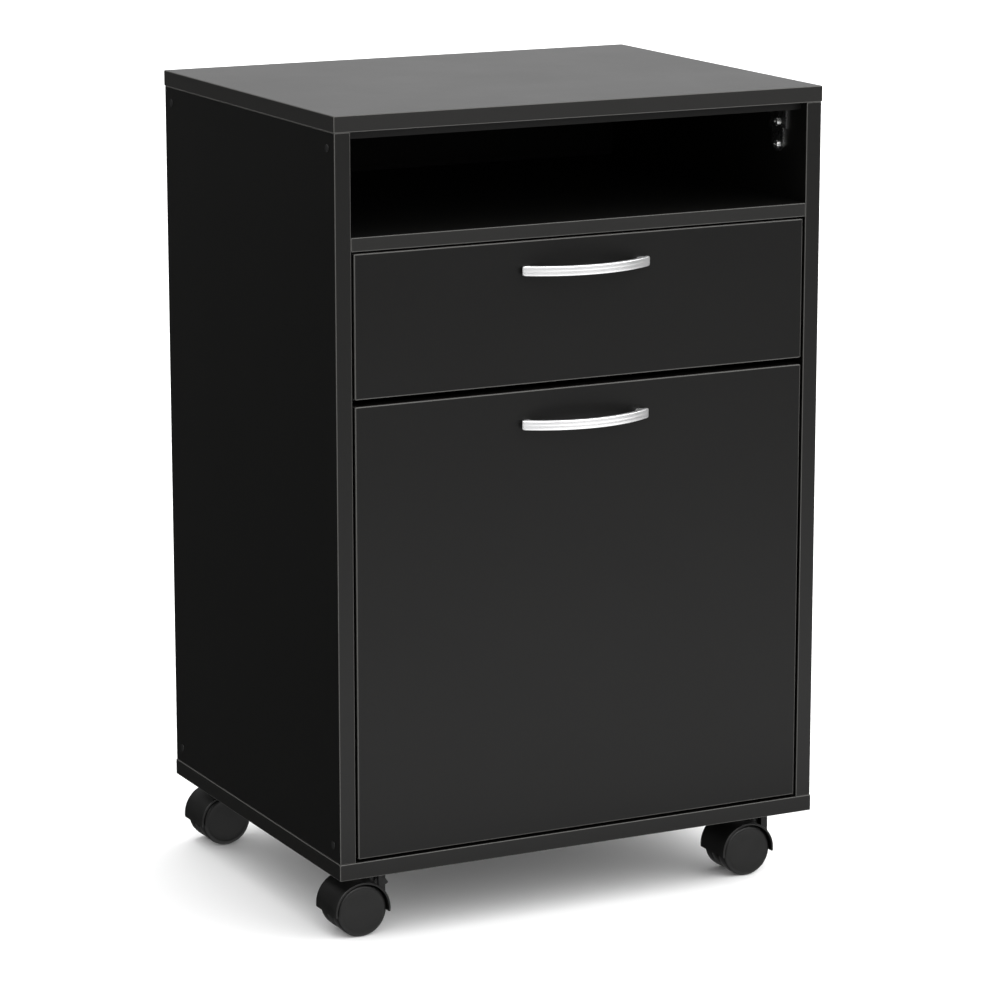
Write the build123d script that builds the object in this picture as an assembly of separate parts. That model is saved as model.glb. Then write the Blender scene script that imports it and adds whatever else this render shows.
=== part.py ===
from build123d import *
import os

# Rolling pedestal cabinet, in millimetres.
# +X is the right-hand side seen from the front, the front faces -Y and +Z is up.
# The origin is on the floor, in the middle of the footprint, handles included.

# ---------------------------------------------------------------- driving dimensions

WIDTH = 400.0
BODY_DEPTH = 314.0
HEIGHT = 612.0
HANDLE_REACH = 20.0
CASTER_HEIGHT = 50.0

TOP_BOARD = 12.0
SIDE_BOARD = 12.5
BASE_BOARD = 12.5
SHELF_BOARD = 10.2
DRAWER_BOARD = 12.0
THIN_PANEL = 3.0
OVERHANG = 0.5
EDGE_RADIUS = 0.8
FRONT_EDGE_RADIUS = 1.2

COMPARTMENT_HEIGHT = 75.3
UPPER_FRONT_HEIGHT = 105.7
LOWER_FRONT_HEIGHT = 337.7
GAP_UNDER_SHELF = 1.5
GAP_BETWEEN_FRONTS = 4.9
FRONT_SIDE_GAP = 2.1

DRAWER_BOX_DEPTH = 262.0
UPPER_BOX_HEIGHT = 80.0
LOWER_BOX_HEIGHT = 300.0
DRAWER_BOX_LIFT = 11.0

RUNNER_LENGTH = 250.0
RUNNER_SPACE = 12.5
RUNNER_SHEET = 1.0
ROLLER_RADIUS = 9.4
ROLLER_WIDTH = 6.0

HANDLE_CENTRES = 96.0
HANDLE_LENGTH = 107.0
UPPER_HANDLE_DROP = 21.5
LOWER_HANDLE_DROP = 24.7

WHEEL_RADIUS = 20.0
WHEEL_WIDTH = 11.5
CASTER_TRAIL = 12.0
HOOD_RADIUS = 22.5
HOOD_WIDTH = 36.0

SIDE_CASTER_INSET = 36.0
END_CASTER_INSET = 30.0

# Screws: head radius, head height, shank radius, shank length.
BRACKET_SCREW = (3.2, 2.0, 1.5, 9.0)
RUNNER_SCREW = (3.0, 0.9, 1.5, 9.0)
RAIL_SCREW = (2.6, 0.9, 1.4, 8.0)
CASTER_SCREW = (3.2, 1.8, 1.9, 11.5)
HANDLE_SCREW = (3.6, 2.2, 2.0, 18.0)

# ---------------------------------------------------------------- derived places

FRONT_Y = HANDLE_REACH / 2 - BODY_DEPTH / 2
BACK_Y = FRONT_Y + BODY_DEPTH
HALF_WIDTH = WIDTH / 2
SIDE_OUTER = HALF_WIDTH - OVERHANG
SIDE_INNER = SIDE_OUTER - SIDE_BOARD
SIDE_FRONT = FRONT_Y + OVERHANG
SIDE_BACK = BACK_Y - OVERHANG

BASE_TOP = CASTER_HEIGHT + BASE_BOARD
TOP_UNDERSIDE = HEIGHT - TOP_BOARD
SHELF_TOP = TOP_UNDERSIDE - COMPARTMENT_HEIGHT
SHELF_UNDERSIDE = SHELF_TOP - SHELF_BOARD

BACK_PANEL_INSET = 5.0
BACK_PANEL_REAR = BACK_Y - BACK_PANEL_INSET
BACK_PANEL_FRONT = BACK_PANEL_REAR - THIN_PANEL
GROOVE_DEPTH = 5.0
GROOVE_PLAY = 0.1

FRONT_HALF_WIDTH = SIDE_INNER - FRONT_SIDE_GAP
FRONT_PANEL_BACK = SIDE_FRONT + SIDE_BOARD
UPPER_FRONT_TOP = SHELF_UNDERSIDE - GAP_UNDER_SHELF
UPPER_FRONT_BOTTOM = UPPER_FRONT_TOP - UPPER_FRONT_HEIGHT
LOWER_FRONT_TOP = UPPER_FRONT_BOTTOM - GAP_BETWEEN_FRONTS
LOWER_FRONT_BOTTOM = LOWER_FRONT_TOP - LOWER_FRONT_HEIGHT

BOX_OUTER = SIDE_INNER - RUNNER_SPACE
BOX_INNER = BOX_OUTER - DRAWER_BOARD
BOX_BACK = FRONT_PANEL_BACK + DRAWER_BOX_DEPTH
BOX_BACK_INNER = BOX_BACK - DRAWER_BOARD
BOTTOM_PANEL_LIFT = 8.0

RUNNER_FRONT = FRONT_PANEL_BACK + 2.0
RUNNER_BACK = RUNNER_FRONT + RUNNER_LENGTH
RUNNER_LIFT = 4.0
RUNNER_INSIDE_HEIGHT = 22.0
RUNNER_FLANGE = 9.0
ROLLER_CENTRE_LIFT = 9.6
ROLLER_SLACK = 0.3
CABINET_ROLLER_Y = RUNNER_FRONT + 12.0
DRAWER_ROLLER_Y = RUNNER_BACK - 20.0
ROLLER_PIN_RADIUS = 2.0
ROLLER_BORE_PLAY = 0.05

CASTER_X = HALF_WIDTH - SIDE_CASTER_INSET
FRONT_CASTER_Y = FRONT_Y + END_CASTER_INSET
REAR_CASTER_Y = BACK_Y - END_CASTER_INSET

CENTRED_ON_BASE = (Align.CENTER, Align.CENTER, Align.MIN)


# ---------------------------------------------------------------- shared helpers

def block(x_span, y_span, z_span, edge_radius=0.0):
    """Box between three pairs of limits, with all its edges rounded if asked."""
    spans = (x_span, y_span, z_span)
    middle = [(low + high) / 2 for low, high in spans]
    solid = Pos(*middle) * Box(*[high - low for low, high in spans])
    if edge_radius:
        solid = fillet(solid.edges(), edge_radius)
    return solid


def rod_along_x(radius, x_span, y, z):
    """Round bar along X between two x values."""
    low, high = x_span
    return Pos((low + high) / 2, y, z) * Cylinder(radius, high - low, rotation=(0, 90, 0))


def rod_along_y(radius, x, y_span, z):
    """Round bar along Y between two y values."""
    low, high = y_span
    return Pos(x, (low + high) / 2, z) * Cylinder(radius, high - low, rotation=(90, 0, 0))


def rod_along_z(radius, x, y, z_span):
    """Round bar along Z between two z values."""
    low, high = z_span
    return Pos(x, y, low) * Cylinder(radius, high - low, align=CENTRED_ON_BASE)


def screw(size):
    """Pan-head screw along +Z, with the underside of its head at z = 0."""
    head_radius, head_height, shank_radius, shank_length = size
    head = Pos(0, 0, -head_height) * Cylinder(head_radius, head_height, align=CENTRED_ON_BASE)
    rim = head.edges().filter_by(GeomType.CIRCLE).sort_by(Axis.Z)[0]
    head = fillet(rim, head_height * 0.6)
    recess_depth = head_height * 0.5
    recess_length = head_radius * 1.1
    for turn in (0, 90):
        arm = Box(recess_length, head_radius * 0.28, recess_depth, align=CENTRED_ON_BASE)
        head -= Pos(0, 0, -head_height) * Rot(0, 0, turn) * arm
    tip_length = shank_radius * 1.5
    shank = Cylinder(shank_radius, shank_length - tip_length, align=CENTRED_ON_BASE)
    tip = Cone(shank_radius, shank_radius * 0.3, tip_length, align=CENTRED_ON_BASE)
    return head + shank + Pos(0, 0, shank_length - tip_length) * tip


def mirrored(shape):
    """The left-hand twin of a right-hand piece."""
    return mirror(shape, about=Plane.YZ)


def cut_by_all(shape, tools):
    """A shape with the room for every tool cut out of it."""
    for tool in tools:
        shape -= tool
    return shape


def save(shapes, name):
    """One STEP file for a node of one or more separate solids."""
    solids = shapes if isinstance(shapes, list) else [shapes]
    whole = Compound(solids) if len(solids) > 1 else solids[0]
    whole.label = name
    export_step(whole, f"parts/{name}.step")


# ---------------------------------------------------------------- corner brackets

BRACKET_SHEET = 1.5
BRACKET_CENTRE_SETBACK = 41.0
BRACKET_TONGUE_WIDTH = 16.0
BRACKET_SHOULDER_WIDTH = 24.0
BRACKET_SHOULDER_HEIGHT = 23.0
BRACKET_LEG = 41.0
BRACKET_FLANGE = 28.0
BRACKET_SCREW_DROPS = (18.6, 35.7)
BRACKET_SCREW_REACHES = (11.0, 21.0)


def right_bracket(y):
    """Steel angle joining the right side panel to the underside of the top."""
    leg_x = (SIDE_INNER - BRACKET_SHEET, SIDE_INNER)
    tongue_half = BRACKET_TONGUE_WIDTH / 2
    shoulder_half = BRACKET_SHOULDER_WIDTH / 2
    tongue_end = TOP_UNDERSIDE - BRACKET_LEG + tongue_half
    shoulder_end = TOP_UNDERSIDE - BRACKET_SHOULDER_HEIGHT
    shoulder = block(leg_x, (y - shoulder_half, y + shoulder_half), (shoulder_end, TOP_UNDERSIDE))
    tongue = block(leg_x, (y - tongue_half, y + tongue_half), (tongue_end, TOP_UNDERSIDE))
    round_end = rod_along_x(tongue_half, leg_x, y, tongue_end)
    flange_x = (SIDE_INNER - BRACKET_FLANGE, SIDE_INNER)
    flange_z = (TOP_UNDERSIDE - BRACKET_SHEET, TOP_UNDERSIDE)
    flange = block(flange_x, (y - shoulder_half, y + shoulder_half), flange_z)
    return cut_by_all(shoulder + tongue + round_end + flange, right_bracket_screws(y))


def right_bracket_screws(y):
    """Two screws into the side panel and two up into the top."""
    leg_face = SIDE_INNER - BRACKET_SHEET
    flange_face = TOP_UNDERSIDE - BRACKET_SHEET
    into_side = [
        Pos(leg_face, y, TOP_UNDERSIDE - drop) * Rot(0, 90, 0) * screw(BRACKET_SCREW)
        for drop in BRACKET_SCREW_DROPS
    ]
    into_top = [
        Pos(SIDE_INNER - reach, y, flange_face) * screw(BRACKET_SCREW)
        for reach in BRACKET_SCREW_REACHES
    ]
    return into_side + into_top


BRACKET_YS = (FRONT_Y + BRACKET_CENTRE_SETBACK, BACK_PANEL_FRONT - BRACKET_CENTRE_SETBACK / 2)

right_brackets = [right_bracket(y) for y in BRACKET_YS]
right_bracket_fixings = [piece for y in BRACKET_YS for piece in right_bracket_screws(y)]
all_brackets = right_brackets + [mirrored(piece) for piece in right_brackets]
all_bracket_screws = right_bracket_fixings + [mirrored(piece) for piece in right_bracket_fixings]


# ---------------------------------------------------------------- connecting pins and caps

PIN_RADIUS = 2.5
PIN_IN_SIDE = 18.0
PIN_IN_BOARD = 8.0
PIN_INSET = 12.5
CAP_DROP = 12.0
CAP_RADIUS = 2.9
CAP_PROUD = 0.4
CAP_STEM_RADIUS = 2.4
CAP_STEM_LENGTH = 2.5

PIN_X = (SIDE_INNER + SIDE_OUTER) / 2
PIN_YS = (SIDE_FRONT + PIN_INSET, SIDE_BACK - PIN_INSET)


def right_pins():
    """Dowel pins that join the right side panel to the top and the base."""
    top_span = (TOP_UNDERSIDE - PIN_IN_SIDE, TOP_UNDERSIDE + PIN_IN_BOARD)
    base_span = (BASE_TOP - PIN_IN_BOARD, BASE_TOP + PIN_IN_SIDE)
    spans = (top_span, base_span)
    return [rod_along_z(PIN_RADIUS, PIN_X, y, span) for y in PIN_YS for span in spans]


def right_caps():
    """Small plugs in the outer face of the right side panel, one beside each pin."""
    heights = (TOP_UNDERSIDE - CAP_DROP, BASE_TOP + CAP_DROP)
    caps = []
    for y in PIN_YS:
        for z in heights:
            disc = rod_along_x(CAP_RADIUS, (SIDE_OUTER, SIDE_OUTER + CAP_PROUD), y, z)
            rim = disc.edges().filter_by(GeomType.CIRCLE).sort_by(Axis.X)[-1]
            disc = fillet(rim, CAP_PROUD * 0.6)
            stem = rod_along_x(CAP_STEM_RADIUS, (SIDE_OUTER - CAP_STEM_LENGTH, SIDE_OUTER), y, z)
            caps.append(disc + stem)
    return caps


# ---------------------------------------------------------------- drawer runners

def runner_levels():
    """Height of the rolling track of each drawer's runners."""
    lift = DRAWER_BOX_LIFT + RUNNER_LIFT
    return {"upper": UPPER_FRONT_BOTTOM + lift, "lower": LOWER_FRONT_BOTTOM + lift}


ROLLER_PIN_PROUD = 1.0
RAIL_WEB_LIFT = 1.0
RAIL_CLEARANCE = 2.0
ROLLER_RIM_RADIUS = 0.8

RUNNER_SCREW_YS = (RUNNER_FRONT + 40.0, RUNNER_FRONT + 130.0, RUNNER_FRONT + 220.0)
RAIL_SCREW_YS = (RUNNER_FRONT + 60.0, RUNNER_FRONT + 180.0)


def right_runner_screws(track_z):
    """Screws that hold the cabinet half of a right-hand runner to the side panel."""
    face_x = SIDE_INNER - RUNNER_SHEET
    z = track_z + RUNNER_INSIDE_HEIGHT / 2
    return [Pos(face_x, y, z) * Rot(0, 90, 0) * screw(RUNNER_SCREW) for y in RUNNER_SCREW_YS]


def right_runner(track_z):
    """Cabinet half of a right-hand runner: a C channel with the front roller's pin."""
    length = (RUNNER_FRONT, RUNNER_BACK)
    channel_x = (SIDE_INNER - RUNNER_FLANGE, SIDE_INNER)
    web_x = (SIDE_INNER - RUNNER_SHEET, SIDE_INNER)
    track_top = track_z + RUNNER_INSIDE_HEIGHT
    web = block(web_x, length, (track_z - RUNNER_SHEET, track_top + RUNNER_SHEET))
    track = block(channel_x, length, (track_z - RUNNER_SHEET, track_z))
    guard = block(channel_x, length, (track_top, track_top + RUNNER_SHEET))
    pin_x = (SIDE_INNER - RUNNER_FLANGE - ROLLER_PIN_PROUD, SIDE_INNER)
    pin = rod_along_x(ROLLER_PIN_RADIUS, pin_x, CABINET_ROLLER_Y, track_z + ROLLER_CENTRE_LIFT)
    return cut_by_all(web + track + guard + pin, right_runner_screws(track_z))


def right_rail_screws(track_z):
    """Screws that hold the drawer half of a right-hand runner to the drawer side."""
    face_x = BOX_OUTER + RUNNER_SHEET
    z = track_z + RUNNER_INSIDE_HEIGHT / 2
    return [Pos(face_x, y, z) * Rot(0, -90, 0) * screw(RAIL_SCREW) for y in RAIL_SCREW_YS]


def right_rail(track_z):
    """Drawer half of a right-hand runner: an angle with the rear roller's pin."""
    length = (RUNNER_FRONT, RUNNER_BACK)
    flange_z = track_z + ROLLER_CENTRE_LIFT + ROLLER_RADIUS + ROLLER_SLACK
    web_z = (track_z + RAIL_WEB_LIFT, flange_z + RUNNER_SHEET)
    web = block((BOX_OUTER, BOX_OUTER + RUNNER_SHEET), length, web_z)
    flange_x = (BOX_OUTER, SIDE_INNER - RUNNER_SHEET - RAIL_CLEARANCE)
    flange = block(flange_x, length, (flange_z, flange_z + RUNNER_SHEET))
    pin_x = (BOX_OUTER, SIDE_INNER - RUNNER_SHEET - ROLLER_PIN_PROUD)
    pin = rod_along_x(ROLLER_PIN_RADIUS, pin_x, DRAWER_ROLLER_Y, track_z + ROLLER_CENTRE_LIFT)
    return cut_by_all(web + flange + pin, right_rail_screws(track_z))


def right_roller(y, inner_x, track_z):
    """Plastic roller with its bore along X and softened rims."""
    z = track_z + ROLLER_CENTRE_LIFT
    span = (inner_x, inner_x + ROLLER_WIDTH)
    tread = rod_along_x(ROLLER_RADIUS, span, y, z)
    tread = fillet(tread.edges().filter_by(GeomType.CIRCLE), ROLLER_RIM_RADIUS)
    return tread - rod_along_x(ROLLER_PIN_RADIUS + ROLLER_BORE_PLAY, span, y, z)


CABINET_ROLLER_X = SIDE_INNER - RUNNER_FLANGE
DRAWER_ROLLER_X = BOX_OUTER + RUNNER_SHEET + RAIL_CLEARANCE


# ---------------------------------------------------------------- casters

PLATE_SIZE = 38.0
PLATE_SHEET = 2.0
PLATE_SCREW_INSET = 14.5
PLATE_CORNER_RADIUS = 4.0
RACE_RADIUS = 11.0
RACE_TAPER = 1.5
RACE_HEIGHT = 2.0
RACE_GAP = 0.3
STEM_RADIUS = 3.0
STEM_BOTTOM = 27.0
STEM_END_ROOM = 0.5
BOSS_RADIUS = 5.6
WEB_HALF = 4.6
POCKET_RADIUS = 20.9
HOOD_HEM = 17.5
HOOD_RIM_RADIUS = 0.9
HUB_RADIUS = 9.0
AXLE_RADIUS = 2.5
AXLE_HALF = 13.0
AXLE_CHAMFER = 0.4
AXLE_END_ROOM = 0.3
RUNNING_FIT = 0.05
WHEEL_INNER_FACE = 5.0
WHEEL_RIM_RADIUS = 2.0

LEVER_PIVOT_X = 8.5
LEVER_PIVOT_Z = 41.3
LEVER_HALF_WIDTH = 5.1
LEVER_THICKNESS = 3.0
LEVER_BOTTOM = 33.2
LEVER_TOP = 43.0
LEVER_CORNER_RADIUS = 1.0
LEVER_TRUNNION = 1.3
TRUNNION_SETBACK = 0.2
LEVER_RAISED = 36.0
LUG_INNER = 5.4
LUG_OUTER = 7.4
LUG_REAR = 3.2
LUG_FRONT = 2.3
LUG_BOTTOM = 28.0
LUG_HEAD = 2.6


def caster_places():
    """Swivel axis of each caster, with whether it carries a brake."""
    return {
        "front_left": (-CASTER_X, FRONT_CASTER_Y, True),
        "front_right": (CASTER_X, FRONT_CASTER_Y, True),
        "rear_left": (-CASTER_X, REAR_CASTER_Y, False),
        "rear_right": (CASTER_X, REAR_CASTER_Y, False),
    }


def caster_screws():
    """Four screws up through a mounting plate, around the swivel axis at the origin."""
    underside = CASTER_HEIGHT - PLATE_SHEET
    offsets = (-PLATE_SCREW_INSET, PLATE_SCREW_INSET)
    return [Pos(x, y, underside) * screw(CASTER_SCREW) for x in offsets for y in offsets]


def caster_plate():
    """Mounting plate with its swivel race and the stem that turns in the hood."""
    half = PLATE_SIZE / 2
    underside = CASTER_HEIGHT - PLATE_SHEET
    plate = block((-half, half), (-half, half), (underside, CASTER_HEIGHT))
    plate = fillet(plate.edges().filter_by(Axis.Z), PLATE_CORNER_RADIUS)
    race_bottom = underside - RACE_HEIGHT
    race = Cone(RACE_RADIUS - RACE_TAPER, RACE_RADIUS, RACE_HEIGHT, align=CENTRED_ON_BASE)
    race = Pos(0, 0, race_bottom) * race
    stem = rod_along_z(STEM_RADIUS, 0, 0, (STEM_BOTTOM, race_bottom))
    return cut_by_all(plate + race + stem, caster_screws())


def caster_hood(with_brake):
    """Twin-wheel housing: a round hood over both wheels, on a central web."""
    half = HOOD_WIDTH / 2
    crown = rod_along_y(HOOD_RADIUS, -CASTER_TRAIL, (-half, half), WHEEL_RADIUS)
    crown = fillet(crown.edges().filter_by(GeomType.CIRCLE), HOOD_RIM_RADIUS)
    reach = (-CASTER_TRAIL - HOOD_RADIUS, -CASTER_TRAIL + HOOD_RADIUS)
    crown &= block(reach, (-half, half), (HOOD_HEM, WHEEL_RADIUS + HOOD_RADIUS))
    boss_top = CASTER_HEIGHT - PLATE_SHEET - RACE_HEIGHT - RACE_GAP
    boss = rod_along_z(BOSS_RADIUS, 0, 0, (STEM_BOTTOM, boss_top))
    hood = crown + boss
    if with_brake:
        lug_x = (LEVER_PIVOT_X - LUG_REAR, LEVER_PIVOT_X + LUG_FRONT)
        lug_z = (LUG_BOTTOM, LEVER_PIVOT_Z + LUG_HEAD)
        for lug_y in ((LUG_INNER, LUG_OUTER), (-LUG_OUTER, -LUG_INNER)):
            hood += block(lug_x, lug_y, lug_z)
    for pocket_y in ((WEB_HALF, half), (-half, -WEB_HALF)):
        hood -= rod_along_y(POCKET_RADIUS, -CASTER_TRAIL, pocket_y, WHEEL_RADIUS)
    hood += rod_along_y(HUB_RADIUS, -CASTER_TRAIL, (-WEB_HALF, WEB_HALF), WHEEL_RADIUS)
    hood -= rod_along_y(AXLE_RADIUS, -CASTER_TRAIL, (-WEB_HALF, WEB_HALF), WHEEL_RADIUS)
    hood -= rod_along_z(STEM_RADIUS + RUNNING_FIT, 0, 0, (STEM_BOTTOM - STEM_END_ROOM, boss_top))
    if with_brake:
        bore = LEVER_TRUNNION + RUNNING_FIT
        hood -= rod_along_y(bore, LEVER_PIVOT_X, (-LUG_OUTER, LUG_OUTER), LEVER_PIVOT_Z)
    return hood


def caster_axle():
    """Steel axle pressed through the web of the hood."""
    axle = rod_along_y(AXLE_RADIUS, -CASTER_TRAIL, (-AXLE_HALF, AXLE_HALF), WHEEL_RADIUS)
    return chamfer(axle.edges().filter_by(GeomType.CIRCLE), AXLE_CHAMFER)


def caster_wheel(side):
    """Wheel on one side of the web, closed on its outer face; side is -1 or +1."""
    inner = WHEEL_INNER_FACE
    outer = inner + WHEEL_WIDTH
    span = tuple(sorted((side * inner, side * outer)))
    disc = rod_along_y(WHEEL_RADIUS, -CASTER_TRAIL, span, WHEEL_RADIUS)
    rims = disc.edges().filter_by(GeomType.CIRCLE).sort_by(Axis.Y)
    outer_rim = rims[-1] if side > 0 else rims[0]
    disc = fillet(outer_rim, WHEEL_RIM_RADIUS)
    bore_span = tuple(sorted((side * inner, side * (AXLE_HALF + AXLE_END_ROOM))))
    return disc - rod_along_y(AXLE_RADIUS + RUNNING_FIT, -CASTER_TRAIL, bore_span, WHEEL_RADIUS)


def brake_lever(raised_angle):
    """Brake lever hanging in front of the hood, swung outward by an angle."""
    half_thick = LEVER_THICKNESS / 2
    lever_x = (LEVER_PIVOT_X - half_thick, LEVER_PIVOT_X + half_thick)
    tab = block(lever_x, (-LEVER_HALF_WIDTH, LEVER_HALF_WIDTH), (LEVER_BOTTOM, LEVER_TOP))
    tab = fillet(tab.edges().filter_by(Axis.Y), LEVER_CORNER_RADIUS)
    trunnion_half = LUG_OUTER - TRUNNION_SETBACK
    tab += rod_along_y(LEVER_TRUNNION, LEVER_PIVOT_X, (-trunnion_half, trunnion_half), LEVER_PIVOT_Z)
    pivot = Pos(LEVER_PIVOT_X, 0, LEVER_PIVOT_Z)
    return pivot * Rot(0, -raised_angle, 0) * Pos(-LEVER_PIVOT_X, 0, -LEVER_PIVOT_Z) * tab


def build_casters():
    """Every caster, with the fixed plates and screws gathered over all four."""
    plates = []
    screws = []
    for corner, (x, y, with_brake) in caster_places().items():
        place = Pos(x, y, 0)
        outer_side = -1 if corner.startswith("front") else 1
        plates.append(place * caster_plate())
        screws += [place * piece for piece in caster_screws()]
        save(place * caster_hood(with_brake), f"{corner}_caster_hood")
        save(place * caster_axle(), f"{corner}_caster_axle")
        save(place * caster_wheel(outer_side), f"{corner}_caster_outer_wheel")
        save(place * caster_wheel(-outer_side), f"{corner}_caster_inner_wheel")
        if with_brake:
            raised_angle = LEVER_RAISED if corner == "front_left" else 0.0
            save(place * brake_lever(raised_angle), f"{corner}_brake_lever")
    save(plates, "caster_plates")
    save(screws, "caster_screws")
    return screws


# ---------------------------------------------------------------- cabinet body

TOP_RAIL_SETBACK = 9.0
TOP_RAIL_DEPTH = 18.0
TOP_RAIL_HEIGHT = 6.0


def back_panel(play=0.0):
    """Thin back panel; with play it is the groove cut for it."""
    reach = SIDE_INNER + GROOVE_DEPTH + play
    height = (BASE_TOP - GROOVE_DEPTH - play, TOP_UNDERSIDE + GROOVE_DEPTH + play)
    return block((-reach, reach), (BACK_PANEL_FRONT - play, BACK_PANEL_REAR + play), height)


def build_cabinet(caster_fixings):
    """Panels, shelf, rail, brackets and the fixed halves of the runners."""
    groove = back_panel(GROOVE_PLAY)
    depth = (FRONT_Y, BACK_Y)
    width = (-HALF_WIDTH, HALF_WIDTH)
    pins = right_pins()
    all_pins = pins + [mirrored(pin) for pin in pins]
    caps = right_caps()

    top = block(width, depth, (TOP_UNDERSIDE, HEIGHT), EDGE_RADIUS)
    save(cut_by_all(top, [groove] + all_pins + all_bracket_screws), "top_panel")

    base = block(width, depth, (CASTER_HEIGHT, BASE_TOP), EDGE_RADIUS)
    save(cut_by_all(base, [groove] + all_pins + caster_fixings), "bottom_panel")

    side_x = (SIDE_INNER, SIDE_OUTER)
    right_side = block(side_x, (SIDE_FRONT, SIDE_BACK), (BASE_TOP, TOP_UNDERSIDE), EDGE_RADIUS)
    fixings = [groove] + pins + caps + right_bracket_fixings
    runner_screws = []
    for level, track_z in runner_levels().items():
        runner = right_runner(track_z)
        save(runner, f"{level}_right_runner")
        save(mirrored(runner), f"{level}_left_runner")
        runner_screws += right_runner_screws(track_z)
        roller = right_roller(CABINET_ROLLER_Y, CABINET_ROLLER_X, track_z)
        save(roller, f"{level}_right_cabinet_roller")
        save(mirrored(roller), f"{level}_left_cabinet_roller")
    right_side = cut_by_all(right_side, fixings + runner_screws)
    save(right_side, "right_side_panel")
    save(mirrored(right_side), "left_side_panel")

    save(back_panel(), "back_panel")
    shelf_depth = (SIDE_FRONT, BACK_PANEL_FRONT)
    shelf = block((-SIDE_INNER, SIDE_INNER), shelf_depth, (SHELF_UNDERSIDE, SHELF_TOP), EDGE_RADIUS)
    save(shelf, "shelf_panel")

    rail_y = (FRONT_Y + TOP_RAIL_SETBACK, FRONT_Y + TOP_RAIL_SETBACK + TOP_RAIL_DEPTH)
    rail_z = (TOP_UNDERSIDE - TOP_RAIL_HEIGHT, TOP_UNDERSIDE)
    save(block((-SIDE_INNER, SIDE_INNER), rail_y, rail_z), "top_front_rail")

    save(all_brackets, "corner_brackets")
    save(all_bracket_screws, "bracket_screws")
    save(all_pins, "connector_pins")
    save(caps + [mirrored(cap) for cap in caps], "cover_caps")
    save(runner_screws + [mirrored(piece) for piece in runner_screws], "runner_screws")


# ---------------------------------------------------------------- drawers

HANDLE_HALF_HEIGHT = 3.9
HANDLE_STRIP = 3.4
HANDLE_END_REACH = 7.0
HANDLE_FOOT_LENGTH = 9.0
HANDLE_CORNER_RADIUS = 3.0
HANDLE_RIM_RADIUS = 1.2
DRAWER_GROOVE_DEPTH = 4.0


def handle(z):
    """Bow handle: a curved strip on two feet, against the drawer front."""
    half_length = HANDLE_LENGTH / 2
    rise = HANDLE_REACH - HANDLE_END_REACH
    outer_radius = (half_length ** 2 + rise ** 2) / (2 * rise)
    centre = Pos(0, FRONT_Y - HANDLE_REACH + outer_radius, z)
    full_height = 2 * HANDLE_HALF_HEIGHT
    outer_disc = centre * Cylinder(outer_radius, full_height)
    inner_disc = centre * Cylinder(outer_radius - HANDLE_STRIP, full_height)
    height = (z - HANDLE_HALF_HEIGHT, z + HANDLE_HALF_HEIGHT)
    reach = (FRONT_Y - HANDLE_REACH - 1, SIDE_FRONT)
    bow = (outer_disc & block((-half_length, half_length), reach, height)) - inner_disc
    foot_start = half_length - HANDLE_FOOT_LENGTH
    for foot_x in ((foot_start, half_length), (-half_length, -foot_start)):
        bow += block(foot_x, reach, height) & outer_disc
    end_corners = bow.edges().filter_by(Axis.Z).group_by(Axis.Y)[0]
    bow = fillet(end_corners, HANDLE_CORNER_RADIUS)
    face_rims = [edge for edge in bow.edges().filter_by(GeomType.CIRCLE)
                 if abs(edge.radius - outer_radius) < 0.01]
    bow = fillet(face_rims, HANDLE_RIM_RADIUS)
    return cut_by_all(bow, handle_screws(z))


def handle_screws(z):
    """Machine screws from inside the drawer into the feet of the handle."""
    inward = Rot(90, 0, 0) * screw(HANDLE_SCREW)
    return [Pos(side * HANDLE_CENTRES / 2, FRONT_PANEL_BACK, z) * inward for side in (-1, 1)]


def build_drawer(level, front_span, handle_z, box_height):
    """Drawer front, box, handle, rails and rear rollers of one drawer."""
    track_z = runner_levels()[level]
    box_bottom = front_span[0] + DRAWER_BOX_LIFT
    box_top = box_bottom + box_height
    panel_z = (box_bottom + BOTTOM_PANEL_LIFT, box_bottom + BOTTOM_PANEL_LIFT + THIN_PANEL)
    panel_reach = BOX_INNER + DRAWER_GROOVE_DEPTH
    panel_y = (FRONT_PANEL_BACK - DRAWER_GROOVE_DEPTH, BOX_BACK)
    bottom = block((-panel_reach, panel_reach), panel_y, panel_z)
    pull_screws = handle_screws(handle_z)
    rail_screws = right_rail_screws(track_z)

    front = block((-FRONT_HALF_WIDTH, FRONT_HALF_WIDTH), (SIDE_FRONT, FRONT_PANEL_BACK),
                  front_span, FRONT_EDGE_RADIUS)
    side = block((BOX_INNER, BOX_OUTER), (FRONT_PANEL_BACK, BOX_BACK), (box_bottom, box_top))
    side = cut_by_all(side, [bottom] + rail_screws)
    back = block((-BOX_INNER, BOX_INNER), (BOX_BACK_INNER, BOX_BACK), (panel_z[1], box_top))
    rail = right_rail(track_z)
    roller = right_roller(DRAWER_ROLLER_Y, DRAWER_ROLLER_X, track_z)

    save(cut_by_all(front, [bottom] + pull_screws), f"{level}_drawer_front")
    save(side, f"{level}_drawer_right_side")
    save(mirrored(side), f"{level}_drawer_left_side")
    save(back, f"{level}_drawer_back")
    save(bottom, f"{level}_drawer_bottom")
    save([rail, mirrored(rail)], f"{level}_drawer_rails")
    save(handle(handle_z), f"{level}_handle")
    save(pull_screws + rail_screws + [mirrored(piece) for piece in rail_screws],
         f"{level}_drawer_screws")
    save(roller, f"{level}_right_drawer_roller")
    save(mirrored(roller), f"{level}_left_drawer_roller")


# ---------------------------------------------------------------- whole cabinet

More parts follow.
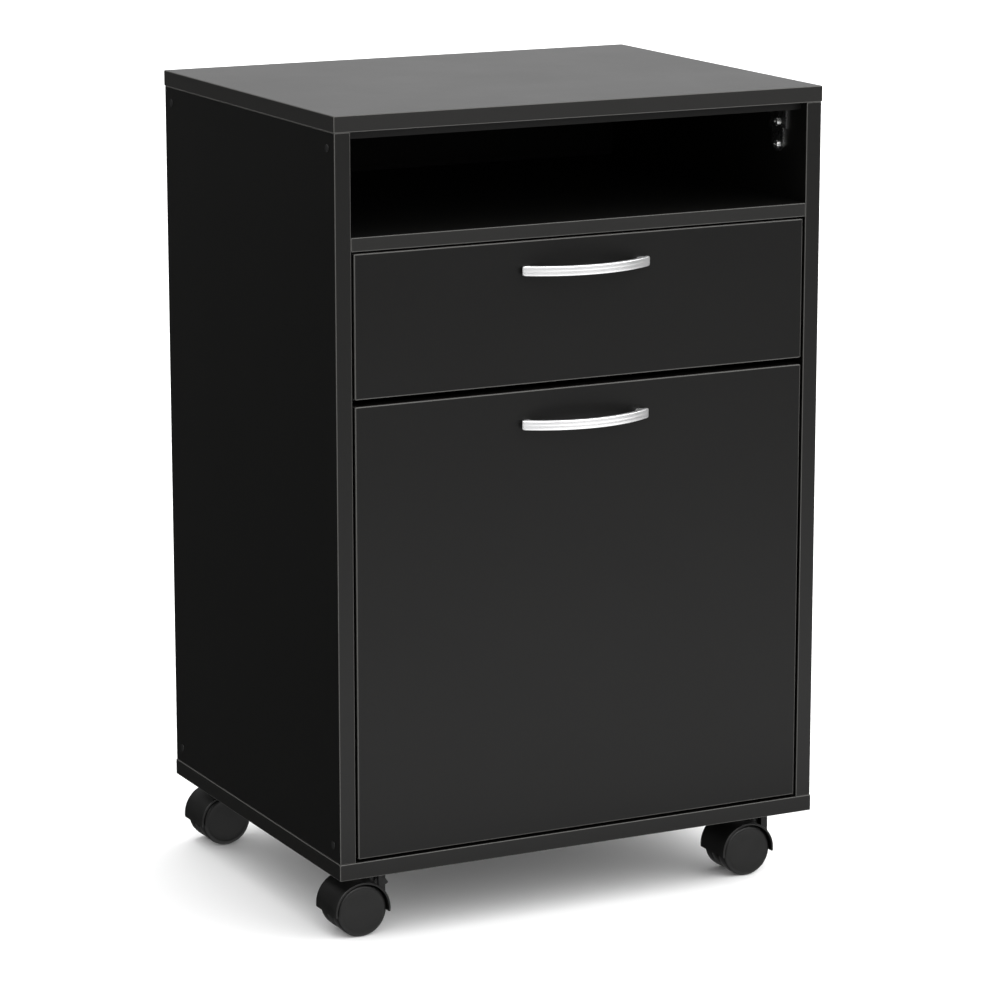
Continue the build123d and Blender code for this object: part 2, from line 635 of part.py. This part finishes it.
os.makedirs("parts", exist_ok=True)
build_cabinet(build_casters())
build_drawer("upper", (UPPER_FRONT_BOTTOM, UPPER_FRONT_TOP),
             UPPER_FRONT_TOP - UPPER_HANDLE_DROP, UPPER_BOX_HEIGHT)
build_drawer("lower", (LOWER_FRONT_BOTTOM, LOWER_FRONT_TOP),
             LOWER_FRONT_TOP - LOWER_HANDLE_DROP, LOWER_BOX_HEIGHT)
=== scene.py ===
import math

import bmesh
import bpy
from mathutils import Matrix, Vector


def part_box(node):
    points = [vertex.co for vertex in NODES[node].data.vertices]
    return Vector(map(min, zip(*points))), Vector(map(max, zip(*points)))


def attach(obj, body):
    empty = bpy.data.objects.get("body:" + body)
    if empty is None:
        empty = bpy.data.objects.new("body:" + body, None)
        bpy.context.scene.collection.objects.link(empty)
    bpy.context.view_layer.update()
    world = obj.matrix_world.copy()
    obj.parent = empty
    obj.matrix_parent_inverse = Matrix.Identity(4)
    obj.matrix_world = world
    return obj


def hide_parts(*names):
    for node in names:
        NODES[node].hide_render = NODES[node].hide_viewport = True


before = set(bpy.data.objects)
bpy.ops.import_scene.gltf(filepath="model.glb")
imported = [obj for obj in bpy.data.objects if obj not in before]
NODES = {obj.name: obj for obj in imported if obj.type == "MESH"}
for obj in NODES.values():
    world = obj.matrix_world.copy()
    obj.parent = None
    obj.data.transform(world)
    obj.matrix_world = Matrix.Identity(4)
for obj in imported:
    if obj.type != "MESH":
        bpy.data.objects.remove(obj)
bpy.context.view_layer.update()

SCENE = bpy.context.scene

MM = 0.001


# ------------------------------------------------------------------ shader building blocks

class Shader:
    """A node material under construction, with short ways to add and link nodes."""

    def __init__(self, name):
        self.material = bpy.data.materials.new(name)
        self.material.use_nodes = True
        self.tree = self.material.node_tree
        self.tree.nodes.clear()
        self.output = self.add("ShaderNodeOutputMaterial")
        self.surface = self.add("ShaderNodeBsdfPrincipled")
        self.link(self.surface.outputs["BSDF"], self.output.inputs["Surface"])
        self.place = self.add("ShaderNodeTexCoord").outputs["Object"]

    def add(self, kind, **settings):
        node = self.tree.nodes.new(kind)
        for key, value in settings.items():
            setattr(node, key, value)
        return node

    def link(self, source, target):
        self.tree.links.new(source, target)

    def fixed(self, **values):
        """Sets sockets of the surface shader that are the same all over."""
        for key, value in values.items():
            self.surface.inputs[key.replace("_", " ")].default_value = value

    def stretched(self, scale):
        """The object's own coordinates, scaled along each axis."""
        mapping = self.add("ShaderNodeMapping")
        mapping.inputs["Scale"].default_value = scale
        self.link(self.place, mapping.inputs["Vector"])
        return mapping.outputs["Vector"]

    def noise(self, scale, detail=2.0, roughness=0.5, stretch=None):
        node = self.add("ShaderNodeTexNoise")
        node.inputs["Scale"].default_value = scale
        node.inputs["Detail"].default_value = detail
        node.inputs["Roughness"].default_value = roughness
        self.link(self.stretched(stretch) if stretch else self.place, node.inputs["Vector"])
        return node.outputs["Fac"]

    def voronoi(self, scale):
        node = self.add("ShaderNodeTexVoronoi", feature="F1")
        node.inputs["Scale"].default_value = scale
        self.link(self.place, node.inputs["Vector"])
        return node.outputs["Distance"]

    def spread(self, value, from_low, from_high, to_low, to_high):
        """Maps a value from one span to another, clamped."""
        node = self.add("ShaderNodeMapRange")
        node.inputs["From Min"].default_value = from_low
        node.inputs["From Max"].default_value = from_high
        node.inputs["To Min"].default_value = to_low
        node.inputs["To Max"].default_value = to_high
        self.link(value, node.inputs["Value"])
        return node.outputs["Result"]

    def math(self, operation, first, second):
        node = self.add("ShaderNodeMath", operation=operation)
        for socket, value in zip(node.inputs, (first, second)):
            if isinstance(value, (int, float)):
                socket.default_value = value
            else:
                self.link(value, socket)
        return node.outputs["Value"]

    def blend(self, factor, first, second):
        """Mixes two colours, or a colour and a socket, by a factor socket."""
        node = self.add("ShaderNodeMix", data_type="RGBA")
        self.link(factor, node.inputs["Factor"])
        colour_inputs = [s for s in node.inputs if s.type == "RGBA"]
        for socket, value in zip(colour_inputs, (first, second)):
            if isinstance(value, tuple):
                socket.default_value = (*value, 1.0)
            else:
                self.link(value, socket)
        return [s for s in node.outputs if s.type == "RGBA"][0]

    def bump(self, heights):
        """Chains bump maps: each entry is a height socket with its depth in metres."""
        normal = None
        for height, depth in heights:
            node = self.add("ShaderNodeBump")
            node.inputs["Strength"].default_value = 1.0
            node.inputs["Distance"].default_value = depth
            self.link(height, node.inputs["Height"])
            if normal:
                self.link(normal, node.inputs["Normal"])
            normal = node.outputs["Normal"]
        self.link(normal, self.surface.inputs["Normal"])

    def colour(self, socket):
        self.link(socket, self.surface.inputs["Base Color"])

    def roughness(self, socket):
        self.link(socket, self.surface.inputs["Roughness"])


# ------------------------------------------------------------------ materials

# Paler colour for the rounded edges between board faces: a painted highlight, not a real tone of
# the board.
PAINTED_EDGE_HIGHLIGHT = (0.062, 0.061, 0.058)
# The top's and the shelf's band colour is a lighter copy of the same band: painted light.
LIT_BAND = (0.0115, 0.0113, 0.0108)       # edge bands of the top and the shelf
PLAIN_BAND = (0.0058, 0.0057, 0.0054)        # edge bands of the other boards
FACING_DARK = (0.0022, 0.0022, 0.0020)
FACING_MID = (0.0027, 0.0027, 0.0025)
FACING_PALE = (0.0036, 0.0035, 0.0033)
ALL_OF_IT = (0.0, 1.0)                       # blend factor from none to all


def melamine(name, face_axis, band):
    """Satin black melamine board. Its edge bands are the faces not square to face_axis, and the
    rounded
    corners between faces get a paler colour: a painted highlight along the edges."""
    shader = Shader(name)
    split = shader.add("ShaderNodeSeparateXYZ")
    shader.link(shader.add("ShaderNodeTexCoord").outputs["Normal"], split.inputs["Vector"])
    facing = [shader.math("ABSOLUTE", socket, 0.0) for socket in split.outputs]
    on_face = shader.spread(facing["XYZ".index(face_axis)], 0.35, 0.8, *ALL_OF_IT)
    squarest = shader.math("MAXIMUM", shader.math("MAXIMUM", facing[0], facing[1]), facing[2])
    # Painted highlight: where the normal is not square to an axis, on the rounded edges, the colour
    # turns paler.
    on_painted_highlight = shader.spread(squarest, 0.9, 0.985, 1.0, 0.0)
    cloud = shader.noise(9.0, 3.0, 0.6)
    grain = shader.noise(900.0, 2.0, 0.6)
    pearl = shader.voronoi(1700.0)
    face = shader.blend(shader.spread(cloud, 0.3, 0.7, *ALL_OF_IT), FACING_DARK, FACING_MID)
    face = shader.blend(shader.spread(grain, 0.35, 0.65, *ALL_OF_IT), face, FACING_PALE)
    board = shader.blend(on_face, band, face)
    shader.colour(shader.blend(on_painted_highlight, board, PAINTED_EDGE_HIGHLIGHT))
    smudge = shader.noise(14.0, 4.0, 0.62)
    face_gloss = shader.spread(smudge, 0.3, 0.7, 0.375, 0.395)
    band_gloss = shader.spread(grain, 0.3, 0.7, 0.28, 0.36)
    on_face_part = shader.math("MULTIPLY", face_gloss, on_face)
    on_band_part = shader.math("MULTIPLY", band_gloss, shader.math("SUBTRACT", 1.0, on_face))
    shader.roughness(shader.math("ADD", on_face_part, on_band_part))
    shader.bump([(pearl, 0.00002), (grain, 0.000012)])
    shader.fixed(IOR=1.27)
    return shader.material


def moulded_plastic(name, colour, roughness, grain_scale, grain_depth):
    """Injection-moulded plastic with a fine spark-eroded grain and faint flow marks."""
    shader = Shader(name)
    flow = shader.noise(60.0, 3.0, 0.55)
    grain = shader.noise(grain_scale, 2.0, 0.6)
    lighter = tuple(channel * 1.35 + 0.002 for channel in colour)
    shader.colour(shader.blend(shader.spread(flow, 0.3, 0.7, *ALL_OF_IT), colour, lighter))
    shader.roughness(shader.spread(grain, 0.25, 0.75, roughness - 0.05, roughness + 0.07))
    shader.bump([(grain, grain_depth)])
    shader.fixed(IOR=1.36)
    return shader.material


def satin_aluminium(name):
    """Silver handle finish: brushed along X, with soft streaks."""
    shader = Shader(name)
    streak = shader.noise(1.0, 3.0, 0.65, stretch=(40.0, 2600.0, 2600.0))
    cloud = shader.noise(45.0, 2.0, 0.5)
    tone = shader.spread(streak, 0.3, 0.7, *ALL_OF_IT)
    shader.colour(shader.blend(tone, (0.74, 0.74, 0.745), (0.79, 0.79, 0.79)))
    brushed = shader.spread(streak, 0.25, 0.75, 0.33, 0.37)
    shader.roughness(shader.math("ADD", brushed, shader.spread(cloud, 0.3, 0.7, 0.0, 0.05)))
    shader.bump([(streak, 0.000005)])
    shader.fixed(Metallic=0.90)
    return shader.material


def zinc(name, spangle_scale):
    """Bright zinc plating: patches of slightly different tone and fine scratches."""
    shader = Shader(name)
    patch = shader.voronoi(spangle_scale)
    scratch = shader.noise(1.0, 3.0, 0.6, stretch=(300.0, 1900.0, 700.0))
    tone = shader.spread(patch, 0.0, 0.8, *ALL_OF_IT)
    shader.colour(shader.blend(tone, (0.56, 0.57, 0.58), (0.74, 0.74, 0.72)))
    shader.roughness(shader.spread(scratch, 0.3, 0.7, 0.22, 0.38))
    shader.bump([(scratch, 0.000015)])
    shader.fixed(Metallic=1.0)
    return shader.material


def epoxy_steel(name):
    """Black epoxy powder coat with its orange-peel surface."""
    shader = Shader(name)
    peel = shader.noise(650.0, 2.0, 0.5)
    dust = shader.noise(3200.0, 1.0, 0.5)
    dusty = shader.spread(dust, 0.45, 0.7, *ALL_OF_IT)
    shader.colour(shader.blend(dusty, (0.018, 0.018, 0.018), (0.04, 0.04, 0.04)))
    shader.roughness(shader.spread(peel, 0.3, 0.7, 0.3, 0.42))
    shader.bump([(peel, 0.00004)])
    return shader.material


def painted_hardboard(name):
    """Thin hardboard, painted black, with the fibre showing through."""
    shader = Shader(name)
    fibre = shader.noise(1.0, 4.0, 0.65, stretch=(700.0, 700.0, 130.0))
    fleck = shader.voronoi(900.0)
    tone = shader.spread(fibre, 0.3, 0.7, *ALL_OF_IT)
    shader.colour(shader.blend(tone, (0.0016, 0.0015, 0.0014), (0.0048, 0.0045, 0.0041)))
    shader.roughness(shader.spread(fibre, 0.3, 0.7, 0.5, 0.68))
    shader.bump([(fibre, 0.00006), (fleck, 0.00002)])
    shader.fixed(IOR=1.2)
    return shader.material


def paint(material, *node_names):
    """Gives CAD nodes one material in every slot."""
    for name in node_names:
        mesh = NODES[name].data
        mesh.materials.clear()
        mesh.materials.append(material)


def nodes_ending(*endings):
    return [name for name in NODES if name.endswith(endings)]


BLACK_PLASTIC = moulded_plastic("caster_plastic", (0.0034, 0.0034, 0.0032), 0.40, 1500.0, 0.00002)
# The top and the shelf take the lighter band colour: painted light on their edge bands.
paint(melamine("melamine_top_and_shelf", "Z", LIT_BAND), "top_panel", "shelf_panel")
paint(melamine("melamine_base", "Z", PLAIN_BAND), "bottom_panel")
paint(melamine("melamine_sides", "X", PLAIN_BAND), "left_side_panel", "right_side_panel",
      *nodes_ending("drawer_left_side", "drawer_right_side"))
paint(melamine("melamine_fronts", "Y", PLAIN_BAND), "top_front_rail",
      *nodes_ending("drawer_front", "drawer_back"))
paint(painted_hardboard("painted_hardboard"), "back_panel", *nodes_ending("drawer_bottom"))
SATIN_ALUMINIUM = satin_aluminium("satin_aluminium")
paint(zinc("zinc_plate", 420.0), "corner_brackets", "caster_plates", *nodes_ending("axle"))
paint(zinc("zinc_screws", 900.0), "connector_pins", *nodes_ending("screws"))
paint(epoxy_steel("epoxy_steel"), *nodes_ending("_runner", "_rails"))
paint(moulded_plastic("roller_nylon", (0.66, 0.65, 0.61), 0.36, 1800.0, 0.00002),
      *nodes_ending("_roller"))
paint(moulded_plastic("cap_plastic", (0.006, 0.006, 0.006), 0.5, 1600.0, 0.00002), "cover_caps")
paint(BLACK_PLASTIC, *nodes_ending("_hood", "brake_lever"))


# ------------------------------------------------------------------ detailed pieces

CREASE = math.radians(38)


def add_piece(name, bm, material, slot, body, *replaced):
    """A finished mesh as a piece on a body, smooth except at its real edges."""
    bmesh.ops.recalc_face_normals(bm, faces=bm.faces)
    mesh = bpy.data.meshes.new(name)
    bm.to_mesh(mesh)
    bm.free()
    mesh.materials.append(material)
    mesh.polygons.foreach_set("use_smooth", [True] * len(mesh.polygons))
    mesh.set_sharp_from_angle(angle=CREASE)
    piece = bpy.data.objects.new(name, mesh)
    SCENE.collection.objects.link(piece)
    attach(piece, body)
    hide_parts(*replaced)


def bridge_rings(bm, rings):
    """Skins a list of equally long closed rings of points and closes both ends."""
    made = [[bm.verts.new(point) for point in ring] for ring in rings]
    for first, second in zip(made, made[1:]):
        count = len(first)
        for i in range(count):
            j = (i + 1) % count
            bm.faces.new((first[i], first[j], second[j], second[i]))
    bm.faces.new(made[0])
    bm.faces.new(list(reversed(made[-1])))


STRIP_THICK = 3.4 * MM
STRIP_CROWN = 0.16 * MM
STRIP_EDGE = 0.8 * MM        # depth of the rounding along the top and bottom edges
STRIP_EDGE_FROM = 0.72       # where it starts, as a part of the strip's half height
STRIP_EDGE_POWER = 2.2
STRIP_INSET = 0.25 * MM      # how far the strip stays inside the CAD handle, top and bottom
STRIP_CHAMFER = 0.5 * MM
CHANNEL_AT = -0.10           # middle and half width, as parts of the strip's half height
CHANNEL_HALF = 0.34
CHANNEL_DEPTH = 0.12 * MM
DRAWER_RECESS = 0.5 * MM     # the drawer fronts lie this far behind the cabinet's front
END_REACH = 3.0 * MM         # how far the ends of the bow stay off the front
END_LENGTH = 3.5 * MM
END_SET_BACK = 0.9 * MM
END_THINNING = 0.65          # parts of the thickness and of the height lost at the tips
END_NARROWING = 0.30
END_NARROWING_POWER = 1.5
FACE_STEPS = 34
ARC_STEPS = 64
END_STEPS = 10
POST_OFFSET = 47.0 * MM      # from the middle of the handle to the middle of a post
POST_HALF_WIDTH = 4.1 * MM
POST_STEPS = 24
POST_SHAPE = ((0.0, 0.93), (0.2, 0.9), (0.6, 0.88), (1.0, 0.88))    # part of the reach, size


def strip_profile(half_height):
    """Section of the handle strip as (outward, up): crowned, with one wide shallow channel."""
    outer = []
    for i in range(FACE_STEPS + 1):
        t = -1 + 2 * i / FACE_STEPS
        near = max(0.0, 1 - ((t - CHANNEL_AT) / CHANNEL_HALF) ** 2)
        over = max(0.0, (abs(t) - STRIP_EDGE_FROM) / (1 - STRIP_EDGE_FROM))
        rounding = 1 - math.sqrt(max(0.0, 1 - over ** STRIP_EDGE_POWER))
        depth = -STRIP_CROWN * t * t - CHANNEL_DEPTH * near * near - STRIP_EDGE * rounding
        outer.append((depth, t * half_height))
    inner_half = half_height - STRIP_CHAMFER
    inner = [(-STRIP_THICK + STRIP_CHAMFER, half_height), (-STRIP_THICK, inner_half),
             (-STRIP_THICK, -inner_half), (-STRIP_THICK + STRIP_CHAMFER, -half_height)]
    return outer + inner


def bow_arc(low, high):
    """Centre and radius of the outer face of a handle seen from above."""
    half = (high.x - low.x) / 2
    rise = high.y - DRAWER_RECESS - END_REACH - low.y
    radius = (half ** 2 + rise ** 2) / (2 * rise)
    return Vector(((low.x + high.x) / 2, low.y + radius)), radius


def strip_stations(low, high):
    """Stations along the handle seen from above, as (place, outward direction, thickness, height).
    Towards each end the strip sets back, thins and narrows, which rounds the ends off."""
    centre, radius = bow_arc(low, high)
    swing = math.asin((high.x - centre.x - END_LENGTH) / radius)
    stations = []
    for i in range(ARC_STEPS + 1):
        a = swing * (2 * i / ARC_STEPS - 1)
        outward = Vector((math.sin(a), -math.cos(a)))
        stations.append((centre + radius * outward, outward, 1.0, 1.0))
    for side in (-1, 1):
        start, outward, *_ = stations[0] if side < 0 else stations[-1]
        along = Vector((-outward.y * side, outward.x * side))
        end = []
        for i in range(1, END_STEPS + 1):
            turn = math.pi / 2 * i / END_STEPS
            gone = 1 - math.cos(turn)
            place = start + along * END_LENGTH * math.sin(turn) - outward * END_SET_BACK * gone
            end.append((place, outward, 1 - END_THINNING * gone,
                        1 - END_NARROWING * gone ** END_NARROWING_POWER))
        stations = list(reversed(end)) + stations if side < 0 else stations + end
    return stations


def post_rings(low, high, side):
    """Rings of a handle post, from the drawer front into the middle of the strip."""
    centre, radius = bow_arc(low, high)
    middle_z = (low.z + high.z) / 2
    half_height = (high.z - low.z) / 2 - STRIP_CHAMFER
    rings = []
    for along, size in POST_SHAPE:
        ring = []
        for i in range(POST_STEPS):
            a = 2 * math.pi * i / POST_STEPS
            c, s = math.cos(a), math.sin(a)
            off = side * POST_OFFSET + POST_HALF_WIDTH * size * math.copysign(abs(c) ** 0.5, c)
            strip_y = centre.y - math.sqrt((radius - STRIP_THICK / 2) ** 2 - off ** 2)
            ring.append((centre.x + off, high.y + (strip_y - high.y) * along,
                         middle_z + half_height * size * math.copysign(abs(s) ** 0.5, s)))
        rings.append(ring)
    return rings


def bow_handle(level):
    """Bow handle of one drawer: a crowned strip on two posts."""
    node = f"{level}_handle"
    low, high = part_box(node)
    z = (low.z + high.z) / 2
    profile = strip_profile((high.z - low.z) / 2 - STRIP_INSET)
    bm = bmesh.new()
    rings = []
    for place, outward, thickness, height in strip_stations(low, high):
        rings.append([(place.x + outward.x * n * thickness, place.y + outward.y * n * thickness,
                       z + up * height) for n, up in profile])
    bridge_rings(bm, rings)
    for side in (-1, 1):
        bridge_rings(bm, post_rings(low, high, side))
    add_piece(f"{level}_bow_handle", bm, SATIN_ALUMINIUM, "satin_silver", f"{level}_drawer", node)


WHEEL_SEGMENTS = 96
WHEEL_BORE = 2.7 * MM
BORE_END = 2.5 * MM          # thickness of the outer face over the blind bore
BOSS_RADIUS = 5.2 * MM
RECESS_DEPTH = 3.0 * MM
RECESS_OUTER = 15.2 * MM
TREAD_INNER = 16.2 * MM
TREAD_CROWN = 0.03 * MM
RIM_RADIUS = 3.0 * MM
RIM_STEPS = 8
DISH_DEPTH = 0.20 * MM
DISH_STEP = 3.6 * MM         # how far inside the rim the dish begins


def wheel_section(radius, half):
    """Half section of a wheel as (radius, outward), from the bore on the inner side, over the
    boss, the lightening recess, the tread and the rim, to the middle of the outer face."""
    section = [(WHEEL_BORE, half - BORE_END), (WHEEL_BORE, -half),
               (BOSS_RADIUS, -half), (BOSS_RADIUS + 0.4 * MM, -half + 0.5 * MM),
               (BOSS_RADIUS + 1.0 * MM, -half + RECESS_DEPTH), (RECESS_OUTER, -half + RECESS_DEPTH),
               (RECESS_OUTER + 0.6 * MM, -half + 0.5 * MM), (TREAD_INNER, -half),
               (radius - 0.8 * MM, -half), (radius - 0.25 * MM, -half + 0.3 * MM),
               (radius - 0.05 * MM, -half + 1.0 * MM),
               (radius, -0.1 * half), (radius - TREAD_CROWN, 0.45 * half)]
    for i in range(RIM_STEPS + 1):
        a = math.pi / 2 * i / RIM_STEPS
        crown = TREAD_CROWN * (1 - i / RIM_STEPS)
        section.append((radius - RIM_RADIUS + RIM_RADIUS * math.cos(a) - crown,
                        half - RIM_RADIUS + RIM_RADIUS * math.sin(a)))
    section += [(radius - DISH_STEP, half - 0.1 * DISH_DEPTH),
                (radius - DISH_STEP - 0.3 * MM, half - 0.7 * DISH_DEPTH),
                (radius - DISH_STEP - 0.7 * MM, half - DISH_DEPTH), (12.0 * MM, half - DISH_DEPTH),
                (7.0 * MM, half - 0.7 * DISH_DEPTH), (3.0 * MM, half - 0.5 * DISH_DEPTH),
                (0.6 * MM, half - 0.4 * DISH_DEPTH)]
    return section


def caster_wheel(corner, which):
    """Twin-caster wheel, turned: crowned tread, soft rim, shallow dish in the outer face."""
    node = f"{corner}_caster_{which}_wheel"
    low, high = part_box(node)
    centre = (low + high) / 2
    hood_low, hood_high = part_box(f"{corner}_caster_hood")
    outward = 1 if centre.y > (hood_low.y + hood_high.y) / 2 else -1
    rings = []
    for r, out in wheel_section((high.z - low.z) / 2, (high.y - low.y) / 2):
        rings.append([(centre.x + r * math.cos(2 * math.pi * i / WHEEL_SEGMENTS),
                       centre.y + outward * out,
                       centre.z + r * math.sin(2 * math.pi * i / WHEEL_SEGMENTS))
                      for i in range(WHEEL_SEGMENTS)])
    bm = bmesh.new()
    bridge_rings(bm, rings)
    add_piece(f"{node}_turned", bm, BLACK_PLASTIC, "caster_plastic", node, node)


for level in ("upper", "lower"):
    bow_handle(level)
for corner in ("front_left", "front_right", "rear_left", "rear_right"):
    for which in ("outer", "inner"):
        caster_wheel(corner, which)


# ------------------------------------------------------------------ studio

CAMERA_PLACE = (-1.3887, -2.7591, 0.9796)
CAMERA_AZIMUTH = math.radians(26.80)        # from +Y towards +X
CAMERA_ELEVATION = math.radians(12.643)     # downwards
CAMERA_LENS = 147.76


def add_camera():
    data = bpy.data.cameras.new("camera")
    data.lens = CAMERA_LENS
    data.sensor_width = 36.0
    data.clip_start = 0.05
    data.clip_end = 100.0
    direction = Vector((math.sin(CAMERA_AZIMUTH) * math.cos(CAMERA_ELEVATION),
                        math.cos(CAMERA_AZIMUTH) * math.cos(CAMERA_ELEVATION),
                        -math.sin(CAMERA_ELEVATION)))
    camera = bpy.data.objects.new("camera", data)
    camera.location = CAMERA_PLACE
    camera.rotation_euler = direction.to_track_quat("-Z", "Y").to_euler()
    SCENE.collection.objects.link(camera)
    SCENE.camera = camera


CARD_PLACE = (0.45, -0.75, 0.004)
CARD_SIZE = (1.5, 0.9)
CARD_POWER = 4.5


def add_floor_card():
    """A light on the floor in front, facing up, that lifts the lower parts of the fronts."""
    data = bpy.data.lights.new("floor_card", "AREA")
    data.shape = "RECTANGLE"
    data.size, data.size_y = CARD_SIZE
    data.energy = CARD_POWER
    card = bpy.data.objects.new("floor_card", data)
    card.location = CARD_PLACE
    card.rotation_euler = Vector((0, 0, 1)).to_track_quat("-Z", "Y").to_euler()
    card.visible_camera = False
    SCENE.collection.objects.link(card)


FLOOR_HALF = 14.0


def add_floor():
    """Pale paper, evenly lit, that doesn't show in the cabinet's reflections."""
    mesh = bpy.data.meshes.new("studio_floor")
    corners = [(x * FLOOR_HALF, y * FLOOR_HALF, 0) for x, y in ((-1, -1), (1, -1), (1, 1), (-1, 1))]
    mesh.from_pydata(corners, [], [(0, 1, 2, 3)])
    floor = bpy.data.objects.new("studio_floor", mesh)
    SCENE.collection.objects.link(floor)
    shader = Shader("floor_paper")
    mottle = shader.noise(3.0, 2.0, 0.5)
    tone = shader.spread(mottle, 0.3, 0.7, *ALL_OF_IT)
    shader.colour(shader.blend(tone, (0.88, 0.88, 0.88), (0.9, 0.9, 0.9)))
    shader.fixed(Roughness=0.9, Specular_IOR_Level=0.0)
    mesh.materials.append(shader.material)
    floor.visible_glossy = False


OVERHEAD_STRENGTH = 1.6
FRONT_BOX_STRENGTH = 7.0     # a soft box above the front, seen only in reflections
BACKDROP_STRENGTH = 1.3


def add_world():
    """Studio surroundings: white to the camera, a soft dome that is stronger on the right
    for the lighting, and a bright front with a dark corner behind on the left in reflections."""
    world = bpy.data.worlds.new("studio")
    world.use_nodes = True
    tree = world.node_tree
    tree.nodes.clear()
    output = tree.nodes.new("ShaderNodeOutputWorld")
    background = tree.nodes.new("ShaderNodeBackground")
    tree.links.new(background.outputs["Background"], output.inputs["Surface"])
    coordinates = tree.nodes.new("ShaderNodeTexCoord")
    split = tree.nodes.new("ShaderNodeSeparateXYZ")
    tree.links.new(coordinates.outputs["Generated"], split.inputs["Vector"])
    toward = split.outputs

    def ramp(socket, low, high, to_low, to_high):
        node = tree.nodes.new("ShaderNodeMapRange")
        node.interpolation_type = "SMOOTHSTEP"
        span = {"From Min": low, "From Max": high, "To Min": to_low, "To Max": to_high}
        for key, value in span.items():
            node.inputs[key].default_value = value
        tree.links.new(socket, node.inputs["Value"])
        return node.outputs["Result"]

    def product(first, second):
        node = tree.nodes.new("ShaderNodeMath")
        node.operation = "MULTIPLY"
        tree.links.new(first, node.inputs[0])
        tree.links.new(second, node.inputs[1])
        return node.outputs["Value"]

    def choose(factor, when_off, when_on):
        node = tree.nodes.new("ShaderNodeMix")
        tree.links.new(factor, node.inputs["Factor"])
        for socket, value in ((node.inputs["A"], when_off), (node.inputs["B"], when_on)):
            if isinstance(value, float):
                socket.default_value = value
            else:
                tree.links.new(value, socket)
        return node.outputs["Result"]

    left_to_right = ramp(toward["X"], -0.5, 0.45, 0.06, 1.0)
    low_to_high = ramp(toward["Z"], -0.2, 0.15, 0.4, 1.35)
    rear = product(left_to_right, low_to_high)
    floor_to_eye_level = ramp(toward["Z"], -0.40, -0.08, 1.35, 0.55)
    far_right = ramp(toward["X"], 0.62, 0.95, 1.0, 0.25)
    front = product(floor_to_eye_level, far_right)
    reflected = choose(ramp(toward["Y"], -0.35, 0.35, *ALL_OF_IT), front, rear)
    reflected = choose(ramp(toward["Z"], 0.45, 0.9, *ALL_OF_IT), reflected, OVERHEAD_STRENGTH)
    raised = ramp(toward["Z"], 0.3, 0.5, *ALL_OF_IT)
    forward = ramp(toward["Y"], 0.1, -0.25, *ALL_OF_IT)
    reflected = choose(product(raised, forward), reflected, FRONT_BOX_STRENGTH)
    dome = ramp(toward["X"], -0.9, 0.9, 1.3, 4.0)
    path = tree.nodes.new("ShaderNodeLightPath")
    strength = choose(path.outputs["Is Glossy Ray"], dome, reflected)
    strength = choose(path.outputs["Is Camera Ray"], strength, BACKDROP_STRENGTH)
    tree.links.new(strength, background.inputs["Strength"])
    SCENE.world = world


add_camera()
add_floor()
add_world()
add_floor_card()
SCENE.view_settings.view_transform = "Standard"
SCENE.view_settings.look = "None"
